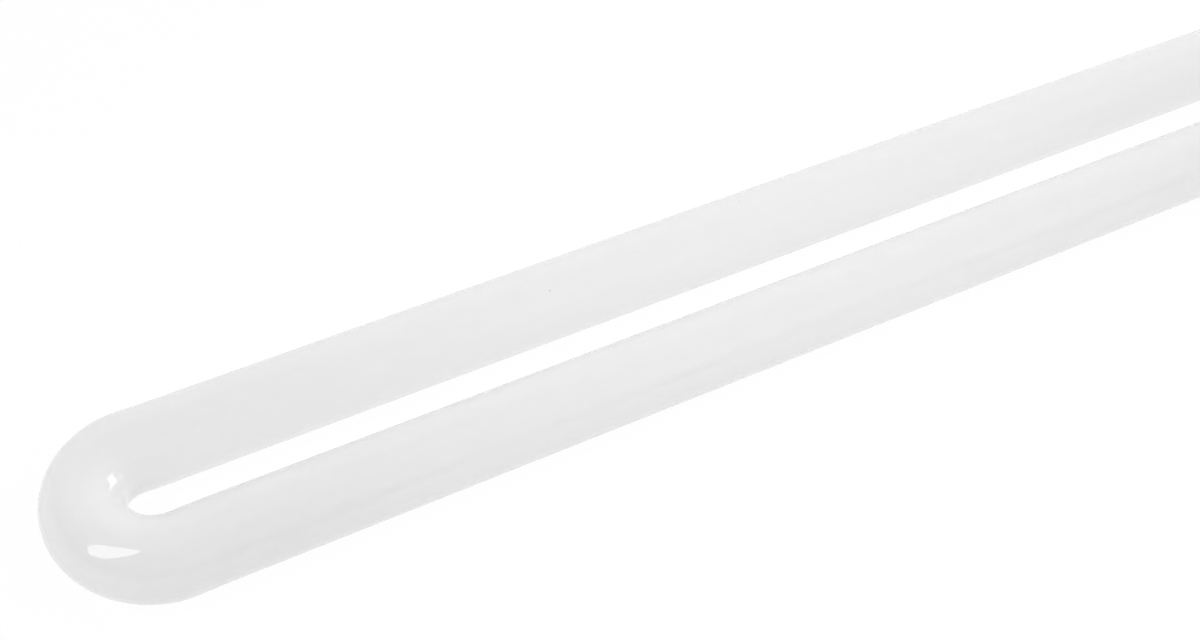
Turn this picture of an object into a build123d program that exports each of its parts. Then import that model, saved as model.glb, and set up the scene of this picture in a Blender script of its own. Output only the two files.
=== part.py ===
from build123d import *
import os
from math import acos, cos, sin, degrees

# A U-bend LED tube lamp that lies flat on a surface: one sealed opal glass tube, bent back on itself,
# with a two-pin cap on the end of each leg. Millimetres, +Z up. The legs run along X, with the bend at
# -X and the caps at +X. Left is +Y and right is -Y, seen from the bend. The origin is the centre of the
# lamp's footprint, on the surface that it lies on.

# The lamp as a whole
lamp_length = 571.5  # 22 1/2 in, from the outside of the bend to the caps' base faces
leg_spacing = 41.3  # 1 5/8 in, between the axes of the two legs

# The sealed opal tube, which nothing shows through: one solid, with what it holds
glass_diameter = 26.0
glass_end_rounding = 0.6  # the fire-polished ends, hidden in the caps
bend_swell = 0.24  # how far the bend stands outside the legs' line where it meets them
easing_radius = 200.0  # of the gentle arc that leads each leg into the bend

# The spun metal shell of a cap
shell_wall = 0.4
shell_length = 16.2
shell_corner_radius = 2.5
shell_window_diameter = 18.0
shell_mouth_rounding = 0.15

# The cement between glass and shell
cement_gap = 0.3
cement_end_setback = 0.8  # how far it stays short of the end of the glass
cement_bead_length = 0.9  # the bead that shows along the glass, outside the shell's mouth
cement_bead_lap = 0.2  # how far the bead laps over the edge of the shell's mouth
cement_bead_rounding = 0.3

# The insulating disc that closes the shell and carries the pins
disc_proud = 0.8  # how far its boss stands out of the shell
disc_boss_rounding = 0.3
disc_flange_clearance = 0.1  # from the start of the shell's inner corner
disc_flange_thickness = 2.0
disc_collar_wall = 0.9  # of the low collar round each pin, on the inner side
disc_collar_height = 1.0

# The contact pins
pin_spacing = 12.7
pin_diameter = 2.35
pin_length = 7.1  # from the base face to the tip
pin_tip_rounding = 0.7
pin_root_step = 0.25  # how much wider in radius the pin is where the disc grips it
pin_rivet_lap = 0.4  # how far the rivet head spreads over the collar
pin_rivet_thickness = 0.5
pin_bore_diameter = 1.3  # for the lead wire
pin_tip_thickness = 0.9  # of the solid tip beyond the bore

# How far the end of the glass stays behind the pins' rivet heads
glass_setback = 1.5

# Worked out from the sizes above
glass_radius = glass_diameter / 2
shell_inner_radius = glass_radius + cement_gap
shell_outer_radius = shell_inner_radius + shell_wall
inner_corner_radius = shell_corner_radius - shell_wall
window_radius = shell_window_diameter / 2
flange_radius = shell_inner_radius - inner_corner_radius - disc_flange_clearance
pin_radius = pin_diameter / 2
root_radius = pin_radius + pin_root_step
collar_radius = root_radius + disc_collar_wall
rivet_radius = root_radius + pin_rivet_lap
axis_height = shell_outer_radius
bend_radius = leg_spacing / 2 + bend_swell
bend_outside = bend_radius + glass_radius
bend_x = bend_outside - (lamp_length + pin_length) / 2
base_x = bend_x - bend_outside + lamp_length
shell_face_x = base_x - disc_proud
shell_mouth_x = shell_face_x - shell_length
disc_back_x = shell_face_x - shell_wall - disc_flange_thickness
rivet_seat_x = disc_back_x - disc_collar_height
rivet_back_x = rivet_seat_x - pin_rivet_thickness
glass_end_x = rivet_back_x - glass_setback
pin_tip_x = base_x + pin_length
LEG_OFFSETS = {"left": leg_spacing / 2, "right": -leg_spacing / 2}
PIN_HEIGHTS = {"upper": pin_spacing / 2, "lower": -pin_spacing / 2}


def tube_path():
    """The line of the glass tube's axis: the left leg, an easing arc, the bend, and back the same way."""
    leg_y = leg_spacing / 2
    reach = bend_radius + easing_radius
    ease = acos(1 - bend_swell / reach)
    turn = degrees(ease)
    easing_x = bend_x + reach * sin(ease)
    easing_y = reach * cos(ease)
    pieces = [
        Line((glass_end_x, leg_y), (easing_x, leg_y)),
        CenterArc((easing_x, easing_y), easing_radius, -90, -turn),
        CenterArc((bend_x, 0), bend_radius, 90 - turn, 180 + 2 * turn),
        CenterArc((easing_x, -easing_y), easing_radius, 90 + turn, -turn),
        Line((easing_x, -leg_y), (glass_end_x, -leg_y)),
    ]
    return Pos(0, 0, axis_height) * Wire([piece.edge() for piece in pieces])


def opal_tube():
    """The sealed opal tube: a round section swept along the whole path, with polished ends."""
    path = tube_path()
    start = Plane(origin=path @ 0, z_dir=path % 0)
    tube = sweep(start * Circle(glass_radius), path=path)
    ends = tube.edges().filter_by_position(Axis.X, glass_end_x - 0.01, glass_end_x + 0.01)
    return fillet(ends, glass_end_rounding)


def rod(radius, from_x, to_x):
    """A round solid about the X axis, between two places along it."""
    base = Plane(origin=(from_x, 0, 0), z_dir=(1, 0, 0))
    return extrude(base * Circle(radius), to_x - from_x)


def rim(solid, x):
    """The outermost round edge of a turned solid at a place along X."""
    return solid.edges().filter_by(GeomType.CIRCLE).filter_by_position(Axis.X, x, x).sort_by(SortBy.RADIUS)[-1]


def cap_shell():
    """The thin metal cup over the end of the glass, with a round window in its face for the disc."""
    inner_face_x = shell_face_x - shell_wall
    cup = rod(shell_outer_radius, shell_mouth_x, shell_face_x)
    cup = fillet(rim(cup, shell_face_x), shell_corner_radius)
    hollow = rod(shell_inner_radius, shell_mouth_x, inner_face_x)
    hollow = fillet(rim(hollow, inner_face_x), inner_corner_radius)
    cup = cup - hollow - rod(window_radius, inner_face_x, shell_face_x)
    return fillet(rim(cup, shell_mouth_x), shell_mouth_rounding)


def cap_cement():
    """The ring of cement that fills the gap round the glass and ends in a bead at the shell's mouth."""
    bead_x = shell_mouth_x - cement_bead_length
    bead = rod(shell_inner_radius + cement_bead_lap, bead_x, shell_mouth_x)
    bead = fillet(rim(bead, bead_x), cement_bead_rounding)
    filling_end_x = glass_end_x - cement_end_setback
    filling = rod(shell_inner_radius, shell_mouth_x, filling_end_x)
    return bead + filling - rod(glass_radius, bead_x, filling_end_x)


def cap_disc():
    """The moulded insulating disc: a boss through the window, a flange behind it and two pin collars."""
    disc = rod(window_radius, disc_back_x, base_x)
    disc = fillet(rim(disc, base_x), disc_boss_rounding)
    disc += rod(flange_radius, disc_back_x, shell_face_x - shell_wall)
    for height in PIN_HEIGHTS.values():
        disc += Pos(0, 0, height) * rod(collar_radius, rivet_seat_x, disc_back_x)
    for height in PIN_HEIGHTS.values():
        disc -= Pos(0, 0, height) * rod(root_radius, rivet_seat_x, base_x)
    return disc


def contact_pin():
    """A hollow contact pin: a rounded free end, a wider root in the disc and a rivet head behind it."""
    pin = rod(pin_radius, base_x, pin_tip_x)
    pin = fillet(rim(pin, pin_tip_x), pin_tip_rounding)
    pin += rod(root_radius, rivet_seat_x, base_x)
    pin += rod(rivet_radius, rivet_back_x, rivet_seat_x)
    return pin - rod(pin_bore_diameter / 2, rivet_back_x, pin_tip_x - pin_tip_thickness)


def lamp_parts():
    """Every piece of the lamp in its place, under the name of its node."""
    shell = cap_shell()
    cement = cap_cement()
    disc = cap_disc()
    pin = contact_pin()
    parts = {"opal_tube": opal_tube()}
    for side, offset in LEG_OFFSETS.items():
        leg = Pos(0, offset, axis_height)
        parts[f"{side}_cap_shell"] = leg * shell
        parts[f"{side}_cap_cement"] = leg * cement
        parts[f"{side}_cap_disc"] = leg * disc
        for level, height in PIN_HEIGHTS.items():
            parts[f"{side}_{level}_pin"] = leg * Pos(0, 0, height) * pin
    return parts


os.makedirs("parts", exist_ok=True)
for name, solid in lamp_parts().items():
    export_step(solid, f"parts/{name}.step")
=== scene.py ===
"""The U-bend LED tube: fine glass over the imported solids, its finishes, a white studio and the camera."""
from collections import namedtuple
from math import acos, copysign, cos, pi, radians, sin

import bpy
import numpy as np
from mathutils import Matrix, Vector


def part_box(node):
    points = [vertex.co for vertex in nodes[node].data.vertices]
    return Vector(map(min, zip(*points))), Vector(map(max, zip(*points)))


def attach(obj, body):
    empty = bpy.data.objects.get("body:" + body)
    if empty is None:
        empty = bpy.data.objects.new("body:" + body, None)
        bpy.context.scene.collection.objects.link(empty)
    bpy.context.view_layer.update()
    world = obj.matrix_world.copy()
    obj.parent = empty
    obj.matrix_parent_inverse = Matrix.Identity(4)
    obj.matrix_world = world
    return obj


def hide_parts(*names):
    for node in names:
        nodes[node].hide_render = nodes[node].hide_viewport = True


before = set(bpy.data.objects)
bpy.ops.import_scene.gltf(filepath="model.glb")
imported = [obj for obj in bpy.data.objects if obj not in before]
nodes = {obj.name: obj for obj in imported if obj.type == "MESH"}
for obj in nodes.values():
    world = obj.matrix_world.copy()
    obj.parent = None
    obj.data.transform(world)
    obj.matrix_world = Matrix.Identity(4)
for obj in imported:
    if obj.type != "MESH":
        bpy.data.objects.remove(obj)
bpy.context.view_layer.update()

# The glass tube, in metres, as the solid has it
GLASS_RADIUS = 0.013
BEND_SWELL = 0.00024
EASING_RADIUS = 0.2
END_ROUNDING = 0.0006
tube_low, tube_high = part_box("opal_tube")
shell_low, shell_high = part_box("left_cap_shell")
AXIS_HEIGHT = (tube_low[2] + tube_high[2]) / 2
LEG_Y = (shell_low[1] + shell_high[1]) / 2
GLASS_END_X = tube_high[0]
BEND_RADIUS = LEG_Y + BEND_SWELL
BEND_X = tube_low[0] + BEND_RADIUS + GLASS_RADIUS

# How finely the glass is divided: round its section, and along a leg, an easing arc, the bend and an end
SIDES = 144
LEG_RINGS = 90
EASING_RINGS = 10
BEND_RINGS = 220
END_RINGS = 6

# The white coating behind the glass, and how far light wanders in it
GLASS_IOR = 1.5
GLASS_ROUGHNESS = 0.02
COATING_GREY = 0.84
COATING_DEPTH = 0.06

# Soft unevenness of the coating: cells a metre along, outwards and upwards, detail, and how much it counts
Cloud = namedtuple("Cloud", "cells detail share")
COATING_CLOUDS = (
    Cloud((14, 70, 70), 2.0, 0.03),
    Cloud((220, 420, 420), 3.0, 0.02),
    Cloud((6, 480, 480), 1.0, 0.015),
)

# Painted light (+) and painted shade (-) on the coating: how far along from the middle of the bend, with +
# to the left leg, how far that reaches, the angle from outwards to upwards, how far that spreads, and the
# change
Patch = namedtuple("Patch", "along reach angle spread change")
PAINTED_LIGHT_AND_SHADE = (
    # painted light on the top of the bend and its inner side, and painted shade in its throat
    Patch(-0.003, 0.030, 104, 50, 0.090),
    Patch(0.020, 0.035, 172, 40, -0.04),
    Patch(0.014, 0.038, 200, 34, -0.11),
    # painted shade on the right leg and the left leg near the bend, and a thin darker line along the right
    # leg
    Patch(-0.065, 0.060, 25, 55, -0.045),
    Patch(-0.090, 0.070, 28, 6, -0.012),
    Patch(-0.090, 0.090, 98, 26, -0.022),
    Patch(0.050, 0.070, 76, 34, -0.022),
    # painted shade on the top of the right leg, and painted light on its outside and on the inside of the
    # left leg
    Patch(-0.330, 0.260, 78, 36, -0.034),
    Patch(-0.340, 0.260, -6, 42, 0.035),
    Patch(0.250, 0.190, 150, 62, 0.026),
)

# Grey specks: how far along, the angle from outwards to upwards, and the radius. Then how much darker than
# the coating they all are, and the share of the radius within which they are at their darkest
Speck = namedtuple("Speck", "along angle radius")
SPECKS = (
    Speck(0.2537, 79, 0.0004),
    Speck(0.1750, 114, 0.0005),
    Speck(-0.2442, -12, 0.0004),
)
SPECK_DARKNESS = 0.22
SPECK_CORE = 0.4

# The part of each leg, by its distance from the middle of the bend, that heating left a little uneven
HEATED_FROM = 0.025
HEATED_TO = 0.085
HEATED_BLOTCHES = Cloud((90, 160, 160), 2.0, 0.06)

# The glass's relief: long ripples from drawing, and wrinkles in the heated part
RIPPLE_CELLS = (9, 130, 130)
RIPPLE_DEPTH = 0.000015
WRINKLE_CELLS = (160, 110, 110)
WRINKLE_SHARE = 2.5

# The Mix node's sockets for colours: the two that go in, and the mixed one that comes out
COLOUR_A = 6
COLOUR_B = 7
MIXED_COLOUR = 2


def axis_line():
    """Points along the glass tube's axis from the left end round to the right end, and each one's heading.

    A leg is a straight run in -X at y = LEG_Y. An arc of EASING_RADIUS, centred outside the leg, turns it a
    little outwards. The bend is an arc of BEND_RADIUS about (BEND_X, 0). The other half mirrors this one.
    """
    reach = BEND_RADIUS + EASING_RADIUS
    ease = acos(1 - BEND_SWELL / reach)
    easing_x = BEND_X + reach * sin(ease)
    easing_y = reach * cos(ease)
    leg_x = np.linspace(GLASS_END_X, easing_x, LEG_RINGS)
    leg = np.stack([leg_x, np.full(LEG_RINGS, LEG_Y), np.full(LEG_RINGS, pi)], axis=1)
    turn = np.linspace(0, ease, EASING_RINGS + 1)[1:]
    easing = np.stack([easing_x - EASING_RADIUS * np.sin(turn), easing_y - EASING_RADIUS * np.cos(turn),
                       pi - turn], axis=1)
    place = np.linspace(pi / 2 - ease, pi, BEND_RINGS // 2 + 1)[1:]
    bend = np.stack([BEND_X + BEND_RADIUS * np.cos(place), BEND_RADIUS * np.sin(place),
                     place + pi / 2], axis=1)
    half = np.concatenate([leg, easing, bend])
    other = half[-2::-1] * (1, -1, 1)
    other[:, 2] = 3 * pi - other[:, 2]
    line = np.concatenate([half, other])
    return line[:, :2], line[:, 2]


def with_rounded_ends(centre, heading):
    """The axis with END_RINGS more rings at each end, and each ring's radius, which rounds the glass off."""
    quarter = np.linspace(0, pi / 2, END_RINGS)
    rounding = GLASS_RADIUS - END_ROUNDING * (1 - np.sin(quarter))
    back = END_ROUNDING * (1 - np.cos(quarter))
    ends = []
    for side_y in (LEG_Y, -LEG_Y):
        ends.append(np.stack([GLASS_END_X - back, np.full(END_RINGS, side_y)], axis=1))
    radius = np.concatenate([rounding, np.full(len(centre) - 2, GLASS_RADIUS), rounding[::-1]])
    first_heading = np.full(END_RINGS, heading[0])
    last_heading = np.full(END_RINGS, heading[-1])
    centre = np.concatenate([ends[0], centre[1:-1], ends[1][::-1]])
    heading = np.concatenate([first_heading, heading[1:-1], last_heading])
    return centre, heading, radius


def tube_faces(rings, sides, first_middle):
    """Quads that join each ring to the next, and a fan of quads from a middle point over each end."""
    ring = np.arange(rings - 1)[:, None] * sides
    side = np.arange(sides)[None, :]
    after = (side + 1) % sides
    wall = np.stack([ring + side, ring + sides + side, ring + sides + after, ring + after], axis=-1)
    pair = np.arange(0, sides, 2)
    beyond = (pair + 2) % sides
    last_ring = (rings - 1) * sides
    start = np.stack([np.full(sides // 2, first_middle), pair, pair + 1, beyond], axis=1)
    end = np.stack([np.full(sides // 2, first_middle + 1), last_ring + beyond, last_ring + pair + 1,
                    last_ring + pair], axis=1)
    return np.concatenate([wall.reshape(-1, 4), start, end])


def places_while_straight(centre, radius, angle):
    """Where each point was on the straight tube: X along from the middle of the bend, Y outwards, Z up."""
    steps = np.linalg.norm(np.diff(centre, axis=0), axis=1)
    along = np.concatenate([[0], np.cumsum(steps)])
    straight = np.empty((len(centre), len(angle), 3))
    straight[:, :, 0] = along[-1] / 2 - along[:, None]
    straight[:, :, 1] = radius[:, None] * np.cos(angle)[None, :]
    straight[:, :, 2] = radius[:, None] * np.sin(angle)[None, :]
    middles = np.array([[along[-1] / 2, 0, 0], [-along[-1] / 2, 0, 0]])
    return np.concatenate([straight.reshape(-1, 3), middles])


def opal_glass_tube():
    """The glass as a surface of two parameters: the place along the axis and the angle round it.

    A point is axis + radius * (cos(angle) * outwards + sin(angle) * up), where outwards is square to the
    heading. At each end the radius follows a quarter circle of END_ROUNDING, and a fan closes the face.
    The attribute "drawn" is where each point was while the tube was still straight, for the glass's marks.
    """
    centre, heading, radius = with_rounded_ends(*axis_line())
    outwards = np.stack([np.sin(heading), -np.cos(heading)], axis=1)
    angle = np.linspace(0, 2 * pi, SIDES, endpoint=False)
    flat = centre[:, None, :] + radius[:, None, None] * np.cos(angle)[None, :, None] * outwards[:, None, :]
    height = AXIS_HEIGHT + radius[:, None] * np.sin(angle)[None, :]
    skin = np.concatenate([flat, height[:, :, None]], axis=2).reshape(-1, 3)
    middles = np.array([[GLASS_END_X, LEG_Y, AXIS_HEIGHT], [GLASS_END_X, -LEG_Y, AXIS_HEIGHT]])
    points = np.concatenate([skin, middles])
    faces = tube_faces(len(centre), SIDES, len(skin))
    mesh = bpy.data.meshes.new("opal_glass_tube")
    mesh.from_pydata(points.tolist(), [], faces.tolist())
    mesh.update()
    mesh.shade_smooth()
    layer = mesh.attributes.new("drawn", "FLOAT_VECTOR", "POINT")
    layer.data.foreach_set("vector", places_while_straight(centre, radius, angle).ravel())
    tube = bpy.data.objects.new("opal_glass_tube", mesh)
    bpy.context.scene.collection.objects.link(tube)
    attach(tube, "root")
    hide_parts("opal_tube")
    return tube


def plug(tree, socket, value):
    """Joins a socket to another node's output, or sets it to a plain value."""
    if isinstance(value, bpy.types.NodeSocket):
        tree.links.new(value, socket)
    else:
        socket.default_value = value


def maths(tree, operation, *values):
    """The output of a Math node on the values."""
    node = tree.nodes.new("ShaderNodeMath")
    node.operation = operation
    for socket, value in zip(node.inputs, values):
        plug(tree, socket, value)
    return node.outputs[0]


def vector_maths(tree, operation, *values):
    """The output of a Vector Math node on the values: a number for some operations, a vector for others."""
    node = tree.nodes.new("ShaderNodeVectorMath")
    node.operation = operation
    for socket, value in zip(node.inputs, values):
        plug(tree, socket, value)
    return node.outputs["Value" if operation in ("DOT_PRODUCT", "DISTANCE") else "Vector"]


def split(tree, vector):
    """The X, Y and Z of a vector."""
    node = tree.nodes.new("ShaderNodeSeparateXYZ")
    plug(tree, node.inputs[0], vector)
    return node.outputs["X"], node.outputs["Y"], node.outputs["Z"]


def object_place(tree):
    """The place on the object, in metres."""
    return tree.nodes.new("ShaderNodeTexCoord").outputs["Object"]


def noise(tree, vector, cells_per_metre, detail=2.0):
    """Soft noise about 0, with its own number of cells a metre along each of the vector's axes."""
    node = tree.nodes.new("ShaderNodeTexNoise")
    plug(tree, node.inputs["Vector"], vector_maths(tree, "MULTIPLY", vector, cells_per_metre))
    node.inputs["Scale"].default_value = 1.0
    node.inputs["Detail"].default_value = detail
    return maths(tree, "SUBTRACT", node.outputs["Fac"], 0.5)


def step(tree, value, low, high):
    """0 below low, 1 above high, and smooth between them. With low above high it falls instead."""
    node = tree.nodes.new("ShaderNodeMapRange")
    node.interpolation_type = "SMOOTHSTEP"
    plug(tree, node.inputs["Value"], value)
    if low < high:
        edges = {"From Min": low, "From Max": high, "To Min": 0.0, "To Max": 1.0}
    else:
        edges = {"From Min": high, "From Max": low, "To Min": 1.0, "To Max": 0.0}
    for name, edge in edges.items():
        node.inputs[name].default_value = edge
    return node.outputs["Result"]


def bump(tree, shader, height, depth):
    """Gives the shader a relief whose height, in metres, is the value times depth."""
    node = tree.nodes.new("ShaderNodeBump")
    node.inputs["Distance"].default_value = depth
    plug(tree, node.inputs["Height"], height)
    tree.links.new(node.outputs["Normal"], shader.inputs["Normal"])


def grey(tree, shader, level, *changes):
    """A grey base colour: the level times 1 plus the changes, each of which is a value and its share."""
    total = 1.0
    for value, share in changes:
        total = maths(tree, "MULTIPLY_ADD", value, share, total)
    plug(tree, shader.inputs["Base Color"], maths(tree, "MULTIPLY", total, level))


def vary_roughness(tree, shader, value, share):
    """Adds the value times its share to the shader's own roughness."""
    socket = shader.inputs["Roughness"]
    plug(tree, socket, maths(tree, "MULTIPLY_ADD", value, share, socket.default_value))


def tint(tree, shader, value, low, high):
    """A base colour that goes from low to high as the value goes from -0.25 to 0.25."""
    mix = tree.nodes.new("ShaderNodeMix")
    mix.data_type = "RGBA"
    plug(tree, mix.inputs["Factor"], step(tree, value, -0.25, 0.25))
    plug(tree, mix.inputs[COLOUR_A], (*low, 1))
    plug(tree, mix.inputs[COLOUR_B], (*high, 1))
    plug(tree, shader.inputs["Base Color"], mix.outputs[MIXED_COLOUR])


def new_finish(name, roughness, metallic=0.0):
    """A node material, its tree and its Principled shader."""
    material = bpy.data.materials.new(name)
    material.use_nodes = True
    tree = material.node_tree
    shader = tree.nodes["Principled BSDF"]
    shader.inputs["Roughness"].default_value = roughness
    shader.inputs["Metallic"].default_value = metallic
    return material, tree, shader


def painted_patch_mask(tree, along, around, patch):
    """1 at the middle of a patch of painted light and shade, falling smoothly to 0 at its reach along and
    its spread round the tube.
    """
    away = maths(tree, "ABSOLUTE", maths(tree, "SUBTRACT", along, patch.along))
    middle = (0, cos(radians(patch.angle)), sin(radians(patch.angle)))
    towards = vector_maths(tree, "DOT_PRODUCT", around, middle)
    near = step(tree, away, patch.reach, 0.0)
    return maths(tree, "MULTIPLY", near, step(tree, towards, cos(radians(patch.spread)), 1.0))


def coating_speck(tree, drawn, speck):
    """1 in a tiny round spot on the drawn tube, 0 elsewhere."""
    turn = radians(speck.angle)
    middle = (speck.along, GLASS_RADIUS * cos(turn), GLASS_RADIUS * sin(turn))
    away = vector_maths(tree, "DISTANCE", drawn, middle)
    return step(tree, away, speck.radius, SPECK_CORE * speck.radius)


def heated_part(tree, along):
    """1 in the middle of the heated part of each leg, falling smoothly to 0 at both of its ends."""
    distance = maths(tree, "ABSOLUTE", along)
    middle = 0.5 * (HEATED_FROM + HEATED_TO)
    return maths(tree, "MULTIPLY", step(tree, distance, HEATED_FROM, middle),
                 step(tree, distance, HEATED_TO, middle))


def opal_glass():
    """Smooth glass with a white coating behind it that light wanders through for centimetres, and patches of
    painted light and shade on the coating.
    """
    material, tree, shader = new_finish("opal_glass", GLASS_ROUGHNESS)
    shader.inputs["IOR"].default_value = GLASS_IOR
    shader.inputs["Subsurface Weight"].default_value = 1.0
    shader.inputs["Subsurface Radius"].default_value = (1, 1, 1)
    shader.inputs["Subsurface Scale"].default_value = COATING_DEPTH
    attribute = tree.nodes.new("ShaderNodeAttribute")
    attribute.attribute_name = "drawn"
    drawn = attribute.outputs["Vector"]
    along = split(tree, drawn)[0]
    around = vector_maths(tree, "NORMALIZE", vector_maths(tree, "MULTIPLY", drawn, (0, 1, 1)))
    heated = heated_part(tree, along)
    changes = []
    for cloud in COATING_CLOUDS:
        changes.append((noise(tree, drawn, cloud.cells, cloud.detail), cloud.share))
    # painted light and shade: patches that lighten or darken the coating's grey
    for patch in PAINTED_LIGHT_AND_SHADE:
        changes.append((painted_patch_mask(tree, along, around, patch), patch.change))
    for speck in SPECKS:
        changes.append((coating_speck(tree, drawn, speck), -SPECK_DARKNESS))
    blotches = noise(tree, drawn, HEATED_BLOTCHES.cells, HEATED_BLOTCHES.detail)
    changes.append((maths(tree, "MULTIPLY", blotches, heated), HEATED_BLOTCHES.share))
    grey(tree, shader, COATING_GREY, *changes)
    ripple = noise(tree, drawn, RIPPLE_CELLS, detail=1.0)
    wrinkle = maths(tree, "MULTIPLY", noise(tree, drawn, WRINKLE_CELLS, detail=1.0), heated)
    bump(tree, shader, maths(tree, "MULTIPLY_ADD", wrinkle, WRINKLE_SHARE, ripple), RIPPLE_DEPTH)
    return material


def spun_aluminium():
    """Spun aluminium: fine turning lines round the cap, with a dull film in patches."""
    material, tree, shader = new_finish("spun_aluminium", roughness=0.3, metallic=1.0)
    place = object_place(tree)
    x, y, z = split(tree, place)
    across = maths(tree, "SUBTRACT", maths(tree, "ABSOLUTE", y), LEG_Y)
    upward = maths(tree, "SUBTRACT", z, AXIS_HEIGHT)
    from_axis = maths(tree, "SQRT", maths(tree, "ADD", maths(tree, "MULTIPLY", across, across),
                                          maths(tree, "MULTIPLY", upward, upward)))
    tool_path = tree.nodes.new("ShaderNodeCombineXYZ")
    plug(tree, tool_path.inputs["X"], maths(tree, "ADD", x, from_axis))
    turning = noise(tree, tool_path.outputs[0], (5500, 0, 0), detail=4.0)
    film = noise(tree, place, (160, 160, 160), detail=4.0)
    vary_roughness(tree, shader, film, share=0.25)
    film_share = 0.12
    turning_share = 0.16
    aluminium_grey = 0.78
    grey(tree, shader, aluminium_grey, (film, film_share), (turning, turning_share))
    bump(tree, shader, turning, depth=0.00003)
    return material


def moulded_plastic():
    """Ivory moulded plastic with a fine satin skin."""
    material, tree, shader = new_finish("disc_plastic", roughness=0.45)
    place = object_place(tree)
    cloud = noise(tree, place, (180, 180, 180), detail=3.0)
    skin = noise(tree, place, (4500, 4500, 4500), detail=2.0)
    tint(tree, shader, cloud, low=(0.79, 0.78, 0.73), high=(0.86, 0.85, 0.81))
    bump(tree, shader, skin, depth=0.00001)
    return material


def basing_cement():
    """White basing cement with a gritty, matt surface."""
    material, tree, shader = new_finish("cement", roughness=0.9)
    place = object_place(tree)
    cloud = noise(tree, place, (350, 350, 350), detail=4.0)
    grit = noise(tree, place, (3000, 3000, 3000), detail=3.0)
    tint(tree, shader, cloud, low=(0.74, 0.72, 0.67), high=(0.84, 0.83, 0.80))
    bump(tree, shader, grit, depth=0.00008)
    return material


def nickel_plate():
    """Nickel-plated brass, rubbed a little brighter in streaks along the pin."""
    material, tree, shader = new_finish("nickel_plate", roughness=0.28, metallic=1.0)
    rubbed = noise(tree, object_place(tree), (250, 2500, 2500), detail=3.0)
    vary_roughness(tree, shader, rubbed, share=-0.25)
    tint(tree, shader, rubbed, low=(0.70, 0.67, 0.61), high=(0.78, 0.76, 0.73))
    bump(tree, shader, rubbed, depth=0.00001)
    return material


def dress(ending, material):
    """Gives every carried-over solid whose name has this ending its finish."""
    for name, solid in nodes.items():
        if name.endswith(ending):
            for slot in solid.material_slots:
                slot.material = material


glass = opal_glass_tube()
glass.data.materials.append(opal_glass())
dress("cap_shell", spun_aluminium())
dress("cap_cement", basing_cement())
dress("cap_disc", moulded_plastic())
dress("pin", nickel_plate())

# The camera, from the fit of the tube's outline to the photograph
IMAGE_WIDTH = 1200
SENSOR = 36.0
FOCAL_PIXELS = 2055.93
AIM = Vector((-0.098454, 0.005998, 0.0137))
DISTANCE = 0.676128
AZIMUTH = radians(-36.0467)
ELEVATION = radians(47.4069)
ROLL = radians(7.8189)


def add_camera():
    """A camera that looks at AIM from an azimuth and a height above the horizon, rolled about its view."""
    back = Vector((sin(AZIMUTH) * cos(ELEVATION), -cos(AZIMUTH) * cos(ELEVATION), sin(ELEVATION)))
    level_right = Vector((0, 0, 1)).cross(back).normalized()
    level_up = back.cross(level_right)
    right = level_right * cos(ROLL) + level_up * sin(ROLL)
    up = level_up * cos(ROLL) - level_right * sin(ROLL)
    data = bpy.data.cameras.new("camera")
    data.sensor_width = SENSOR
    data.lens = FOCAL_PIXELS / IMAGE_WIDTH * SENSOR
    data.clip_start = 0.01
    camera = bpy.data.objects.new("camera", data)
    turn = Matrix((right, up, back)).transposed().to_4x4()
    camera.matrix_world = Matrix.Translation(AIM + back * DISTANCE) @ turn
    bpy.context.scene.collection.objects.link(camera)
    bpy.context.scene.camera = camera


add_camera()
bpy.context.scene.view_settings.view_transform = "Standard"

# The white table top: half its width, its paper's grey, how much of its white is its own light, how bright
# that light is, how white the camera sees it, and how near to that a mirror shows it
TABLE_HALF = 6.0
TABLE_GREY = 0.85
TABLE_LIT_SHARE = 0.93
TABLE_GLOW = 0.88
TABLE_SEEN = 1.02
TABLE_MIRRORED = 0.45


def white_table():
    """Paper that is mostly lit from below, so that it keeps only a faint shadow."""
    material = bpy.data.materials.new("white_table")
    material.use_nodes = True
    tree = material.node_tree
    tree.nodes.clear()
    output = tree.nodes.new("ShaderNodeOutputMaterial")
    paper = tree.nodes.new("ShaderNodeBsdfDiffuse")
    paper.inputs["Color"].default_value = (TABLE_GREY, TABLE_GREY, TABLE_GREY, 1)
    white = tree.nodes.new("ShaderNodeEmission")
    path = tree.nodes.new("ShaderNodeLightPath").outputs
    mirrored = maths(tree, "MULTIPLY", path["Is Glossy Ray"], TABLE_MIRRORED)
    seen = maths(tree, "MAXIMUM", path["Is Camera Ray"], path["Is Transmission Ray"])
    seen = maths(tree, "MAXIMUM", seen, mirrored)
    strength = maths(tree, "MULTIPLY_ADD", seen, TABLE_SEEN - TABLE_GLOW, TABLE_GLOW)
    plug(tree, white.inputs["Strength"], strength)
    mix = tree.nodes.new("ShaderNodeMixShader")
    mix.inputs["Fac"].default_value = TABLE_LIT_SHARE
    tree.links.new(paper.outputs[0], mix.inputs[1])
    tree.links.new(white.outputs[0], mix.inputs[2])
    tree.links.new(mix.outputs[0], output.inputs["Surface"])
    return material


def add_floor():
    """The table top, a square plane that the lamp lies on."""
    corners = [(-TABLE_HALF, -TABLE_HALF, 0), (TABLE_HALF, -TABLE_HALF, 0),
               (TABLE_HALF, TABLE_HALF, 0), (-TABLE_HALF, TABLE_HALF, 0)]
    mesh = bpy.data.meshes.new("floor")
    mesh.from_pydata(corners, [], [(0, 1, 2, 3)])
    mesh.materials.append(white_table())
    floor = bpy.data.objects.new("floor", mesh)
    bpy.context.scene.collection.objects.link(floor)


add_floor()

# How bright the studio's walls are towards each side, low down and high up, and its ceiling
WALLS_LOW = {(1, 0, 0): 0.65, (-1, 0, 0): 0.15, (0, 1, 0): 0.93, (0, -1, 0): 0.0}
WALLS_HIGH = {(1, 0, 0): 0.66, (-1, 0, 0): 0.32, (0, 1, 0): 0.83, (0, -1, 0): 0.59}
CEILING = 0.25

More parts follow.
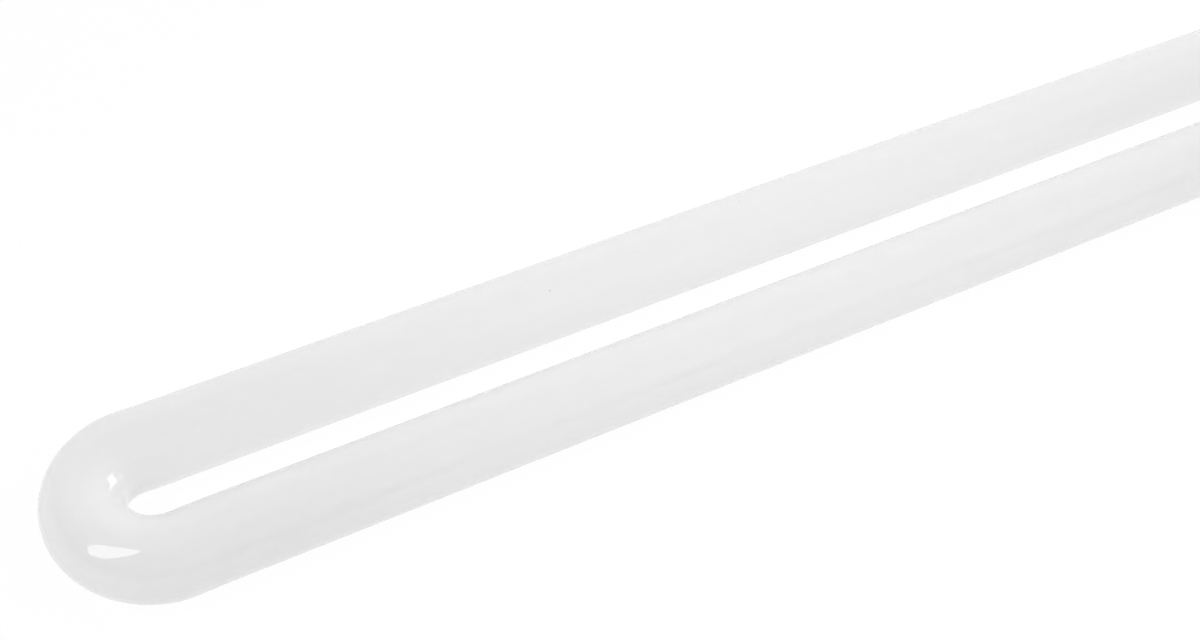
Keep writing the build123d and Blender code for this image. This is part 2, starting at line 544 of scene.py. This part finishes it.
# The heights of a direction, from 0 level to 1 straight up, over which the low walls give way to the high
# ones, those to the ceiling, and the white that mirrors see at the horizon to the walls
LOW_TO_HIGH = (0.15, 0.45)
HIGH_TO_CEILING = (0.6, 0.9)
HORIZON_FADES = (0.1, 0.02)


def add_world():
    """The studio round the object. The camera, and what mirrors it near the horizon, sees plain white."""
    world = bpy.data.worlds.new("studio")
    bpy.context.scene.world = world
    world.use_nodes = True
    tree = world.node_tree
    background = tree.nodes["Background"]
    background.inputs["Color"].default_value = (1, 1, 1, 1)
    direction = tree.nodes.new("ShaderNodeTexCoord").outputs["Generated"]
    height = split(tree, direction)[2]
    level = vector_maths(tree, "NORMALIZE", vector_maths(tree, "MULTIPLY", direction, (1, 1, 0)))
    above_low = step(tree, height, *LOW_TO_HIGH)
    above_high = step(tree, height, *HIGH_TO_CEILING)
    low = maths(tree, "SUBTRACT", 1.0, above_low)
    high = maths(tree, "SUBTRACT", above_low, above_high)
    total = maths(tree, "MULTIPLY", above_high, CEILING)
    for band, walls in ((low, WALLS_LOW), (high, WALLS_HIGH)):
        for side, strength in walls.items():
            towards = maths(tree, "MAXIMUM", vector_maths(tree, "DOT_PRODUCT", level, side), 0.0)
            wall = maths(tree, "MULTIPLY", maths(tree, "MULTIPLY", towards, towards), strength)
            total = maths(tree, "MULTIPLY_ADD", wall, band, total)
    path = tree.nodes.new("ShaderNodeLightPath").outputs
    mirrored = maths(tree, "MAXIMUM", path["Is Glossy Ray"], path["Is Transmission Ray"])
    near_horizon = step(tree, height, *HORIZON_FADES)
    white = maths(tree, "MAXIMUM", path["Is Camera Ray"], maths(tree, "MULTIPLY", mirrored, near_horizon))
    unseen = maths(tree, "SUBTRACT", 1.0, white)
    plug(tree, background.inputs["Strength"], maths(tree, "MULTIPLY_ADD", total, unseen, white))


add_world()


def add_lamp(name, place, aim, width, height, radiance):
    """A soft rectangular lamp that faces a point and that no mirror shows."""
    data = bpy.data.lights.new(name, "AREA")
    data.shape = "RECTANGLE"
    data.size = width
    data.size_y = height
    data.energy = radiance * pi * width * height
    lamp = bpy.data.objects.new(name, data)
    lamp.visible_camera = False
    lamp.visible_glossy = False
    heading = (Vector(aim) - Vector(place)).to_track_quat("-Z", "Y").to_matrix().to_4x4()
    lamp.matrix_world = Matrix.Translation(place) @ heading
    bpy.context.scene.collection.objects.link(lamp)
    return lamp


def add_panel(name, place, width, height, radiance, lean=0.0):
    """An upright lamp that mirrors show. It faces along X to the object, and its top leans towards -Y."""
    x, y, z = place
    panel = add_lamp(name, place, (0.0, y, z), width, height, radiance)
    panel.visible_glossy = True
    panel.matrix_world = panel.matrix_world @ Matrix.Rotation(copysign(lean, x), 4, "Z")
    return panel


# Soft lamps over the middle of the legs
add_lamp("overhead", place=(0.05, 0.1, 0.7), aim=(0.05, 0.0, 0.0), width=0.6, height=0.5, radiance=0.16)
add_lamp("front", place=(0.0, -0.25, 0.35), aim=(0.0, 0.0, 0.0), width=0.3, height=0.2, radiance=2.2)
add_lamp("middle", place=(0.0, 0.0, 0.4), aim=(0.0, 0.0, 0.0), width=0.3, height=0.2, radiance=0.77)

# The panels that the bend mirrors: a tall oval one beyond the bend, and beyond the caps a window with a low
# ledge on its left and a glint on its right. OVAL_SHARE is how much of its width times height an oval fills
OVAL_SHARE = pi / 4
CAP_SIDE_X = 0.735
oval = add_panel("bend_side", place=(-0.775, -0.16, 1.18), width=0.37, height=1.86,
                 radiance=4.0 * OVAL_SHARE, lean=radians(6))
oval.data.shape = "ELLIPSE"
add_panel("cap_side", place=(CAP_SIDE_X, 0.125, 0.27), width=0.28, height=0.38, radiance=4.4,
          lean=radians(9))
add_panel("cap_side_ledge", place=(CAP_SIDE_X, 0.37, 0.145), width=0.22, height=0.07, radiance=5.0)
add_panel("cap_side_glint", place=(CAP_SIDE_X, -0.235, 0.1), width=0.14, height=0.1, radiance=4.5)
